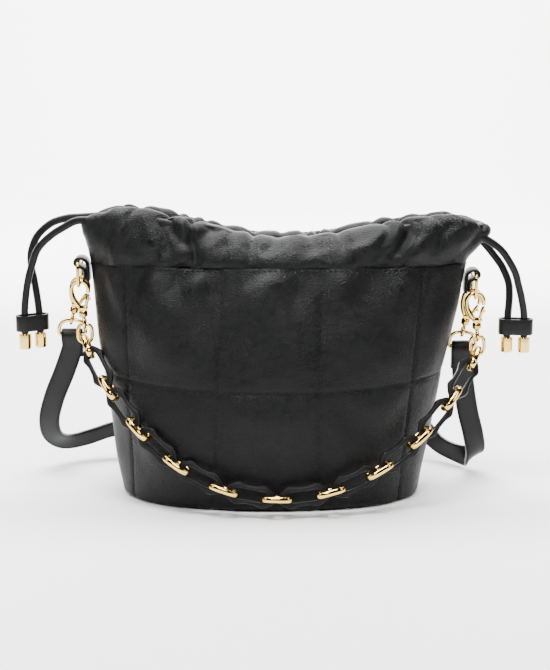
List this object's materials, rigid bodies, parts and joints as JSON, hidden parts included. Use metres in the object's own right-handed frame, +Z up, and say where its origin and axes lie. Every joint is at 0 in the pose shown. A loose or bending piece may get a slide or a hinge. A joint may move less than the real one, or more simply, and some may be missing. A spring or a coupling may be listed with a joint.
{
  "type": "bucket bag",
  "caption": "Black leather bucket bag with a gathered drawstring mouth, a leather and gold chain handle and a clip-on crossbody strap.",
  "frame": {"origin": "centre of the flat underside of the base panel, where the bag stands", "axes": "+Z up, +X along the bag's width to the right as seen from the front, -Y the front where the chain hangs"},
  "size_m": [0.3608, 0.1937, 0.201],
  "materials": {
    "black_leather": "pebbled, semi-matt",
    "gold_plated_brass": "polished",
    "lining_fabric": "plain woven",
    "stiffener_board": "matt board"
  },
  "bodies": {
    "root": {"back_panel": "black_leather", "base_board": "stiffener_board", "base_panel": "black_leather", "chain_clasp_left_eye": "gold_plated_brass", "chain_clasp_right_eye": "gold_plated_brass", "cord_cap_left_back": "gold_plated_brass", "cord_cap_left_front": "gold_plated_brass", "cord_cap_right_back": "gold_plated_brass", "cord_cap_right_front": "gold_plated_brass", "drawcord_left": "black_leather", "drawcord_right": "black_leather", "front_panel": "black_leather", "lining": "lining_fabric", "rim_casing_back": "black_leather", "rim_casing_front": "black_leather", "side_ring_left": "gold_plated_brass", "side_ring_right": "gold_plated_brass", "side_tab_left": "black_leather", "side_tab_right": "black_leather", "strap": "black_leather", "strap_clasp_left_eye": "gold_plated_brass", "strap_clasp_right_eye": "gold_plated_brass", "strap_d_ring_left": "gold_plated_brass", "strap_d_ring_right": "gold_plated_brass"},
    "chain": {"chain_end_ring_left": "gold_plated_brass", "chain_end_ring_right": "gold_plated_brass", "gold_link_01": "gold_plated_brass", "gold_link_02": "gold_plated_brass", "gold_link_03": "gold_plated_brass", "gold_link_04": "gold_plated_brass", "gold_link_05": "gold_plated_brass", "gold_link_06": "gold_plated_brass", "gold_link_07": "gold_plated_brass", "gold_link_08": "gold_plated_brass", "gold_link_09": "gold_plated_brass", "gold_link_10": "gold_plated_brass", "gold_link_11": "gold_plated_brass"},
    "leather_link_01": {"leather_link_01": "black_leather"},
    "leather_link_02": {"leather_link_02": "black_leather"},
    "leather_link_03": {"leather_link_03": "black_leather"},
    "leather_link_04": {"leather_link_04": "black_leather"},
    "leather_link_05": {"leather_link_05": "black_leather"},
    "leather_link_06": {"leather_link_06": "black_leather"},
    "leather_link_07": {"leather_link_07": "black_leather"},
    "leather_link_08": {"leather_link_08": "black_leather"},
    "leather_link_09": {"leather_link_09": "black_leather"},
    "leather_link_10": {"leather_link_10": "black_leather"},
    "chain_clasp_left": {"chain_clasp_left_body": "gold_plated_brass"},
    "chain_clasp_left_gate": {"chain_clasp_left_gate": "gold_plated_brass"},
    "strap_clasp_left": {"strap_clasp_left_body": "gold_plated_brass"},
    "strap_clasp_left_gate": {"strap_clasp_left_gate": "gold_plated_brass"},
    "chain_clasp_right": {"chain_clasp_right_body": "gold_plated_brass"},
    "chain_clasp_right_gate": {"chain_clasp_right_gate": "gold_plated_brass"},
    "strap_clasp_right": {"strap_clasp_right_body": "gold_plated_brass"},
    "strap_clasp_right_gate": {"strap_clasp_right_gate": "gold_plated_brass"},
    "keeper_left": {"keeper_left": "black_leather"},
    "keeper_right": {"keeper_right": "black_leather"}
  },
  "joints": [
    {"name": "chain_swing", "type": "hinge", "parent": "root", "child": "chain", "pos_m": [0.00441, -0.006, 0.11471], "axis": [-0.9995, 0, 0.0315], "range_deg": [0, 90]},
    {"name": "leather_link_01_rock", "type": "hinge", "parent": "chain", "child": "leather_link_01", "pos_m": [-0.12165, -0.02321, 0.09244], "axis": [0.4465, -0.5872, -0.6752], "range_deg": [0, 4]},
    {"name": "leather_link_02_rock", "type": "hinge", "parent": "chain", "child": "leather_link_02", "pos_m": [-0.10303, -0.04198, 0.06792], "axis": [0.5815, -0.449, -0.6784], "range_deg": [-6, 6]},
    {"name": "leather_link_03_rock", "type": "hinge", "parent": "chain", "child": "leather_link_03", "pos_m": [-0.07927, -0.05626, 0.04485], "axis": [0.7294, -0.3388, -0.5943], "range_deg": [-6, 6]},
    {"name": "leather_link_04_rock", "type": "hinge", "parent": "chain", "child": "leather_link_04", "pos_m": [-0.05012, -0.06629, 0.02647], "axis": [0.8811, -0.2153, -0.4211], "range_deg": [-6, 6]},
    {"name": "leather_link_05_rock", "type": "hinge", "parent": "chain", "child": "leather_link_05", "pos_m": [-0.0164, -0.07153, 0.01593], "axis": [0.9841, -0.0743, -0.1616], "range_deg": [-6, 6]},
    {"name": "leather_link_06_rock", "type": "hinge", "parent": "chain", "child": "leather_link_06", "pos_m": [0.0193, -0.07153, 0.01514], "axis": [0.9902, 0.0743, 0.1179], "range_deg": [-6, 6]},
    {"name": "leather_link_07_rock", "type": "hinge", "parent": "chain", "child": "leather_link_07", "pos_m": [0.05367, -0.06629, 0.02372], "axis": [0.9092, 0.2152, 0.3565], "range_deg": [-6, 6]},
    {"name": "leather_link_08_rock", "type": "hinge", "parent": "chain", "child": "leather_link_08", "pos_m": [0.08413, -0.05626, 0.03988], "axis": [0.7735, 0.3388, 0.5356], "range_deg": [-6, 6]},
    {"name": "leather_link_09_rock", "type": "hinge", "parent": "chain", "child": "leather_link_09", "pos_m": [0.1095, -0.04198, 0.06113], "axis": [0.6266, 0.4491, 0.637], "range_deg": [-6, 6]},
    {"name": "leather_link_10_rock", "type": "hinge", "parent": "chain", "child": "leather_link_10", "pos_m": [0.12961, -0.02321, 0.08443], "axis": [0.4832, 0.5871, 0.6495], "range_deg": [-6, 6]},
    {"name": "chain_clasp_left_swivel", "type": "hinge", "parent": "root", "child": "chain_clasp_left", "pos_m": [-0.13553, -0.006, 0.1465], "axis": [-0.1219, 0, 0.9925], "range_deg": [-25, 25]},
    {"name": "chain_clasp_left_gate_opening", "type": "hinge", "parent": "chain_clasp_left", "child": "chain_clasp_left_gate", "pos_m": [-0.13141, -0.006, 0.13094], "axis": [0, -1, 0], "range_deg": [0, 20], "stiffness_Nm_per_rad": 0.01, "springref_deg": -17.19},
    {"name": "strap_clasp_left_swivel", "type": "hinge", "parent": "root", "child": "strap_clasp_left", "pos_m": [-0.13553, 0.006, 0.1465], "axis": [0.2588, 0, 0.9659], "range_deg": [-25, 25]},
    {"name": "strap_clasp_left_gate_opening", "type": "hinge", "parent": "strap_clasp_left", "child": "strap_clasp_left_gate", "pos_m": [-0.13754, 0.006, 0.13052], "axis": [0, -1, 0], "range_deg": [0, 20], "stiffness_Nm_per_rad": 0.01, "springref_deg": -17.19},
    {"name": "chain_clasp_right_swivel", "type": "hinge", "parent": "root", "child": "chain_clasp_right", "pos_m": [0.13855, -0.006, 0.138], "axis": [-0.0872, 0, 0.9962], "range_deg": [-25, 25]},
    {"name": "chain_clasp_right_gate_opening", "type": "hinge", "parent": "chain_clasp_right", "child": "chain_clasp_right_gate", "pos_m": [0.14214, -0.006, 0.1223], "axis": [0, -1, 0], "range_deg": [0, 20], "stiffness_Nm_per_rad": 0.01, "springref_deg": -17.19},
    {"name": "strap_clasp_right_swivel", "type": "hinge", "parent": "root", "child": "strap_clasp_right", "pos_m": [0.13855, 0.006, 0.138], "axis": [0.2419, 0, 0.9703], "range_deg": [-25, 25]},
    {"name": "strap_clasp_right_gate_opening", "type": "hinge", "parent": "strap_clasp_right", "child": "strap_clasp_right_gate", "pos_m": [0.13683, 0.006, 0.12199], "axis": [0, -1, 0], "range_deg": [0, 20], "stiffness_Nm_per_rad": 0.01, "springref_deg": -17.19},
    {"name": "keeper_left_slide", "type": "slide", "parent": "root", "child": "keeper_left", "axis": [0, 0, 1], "range_m": [0, 0.016], "deforming": ["drawcord_left"]},
    {"name": "keeper_right_slide", "type": "slide", "parent": "root", "child": "keeper_right", "axis": [0, 0, 1], "range_m": [0, 0.016], "deforming": ["drawcord_right"]}
  ]
}
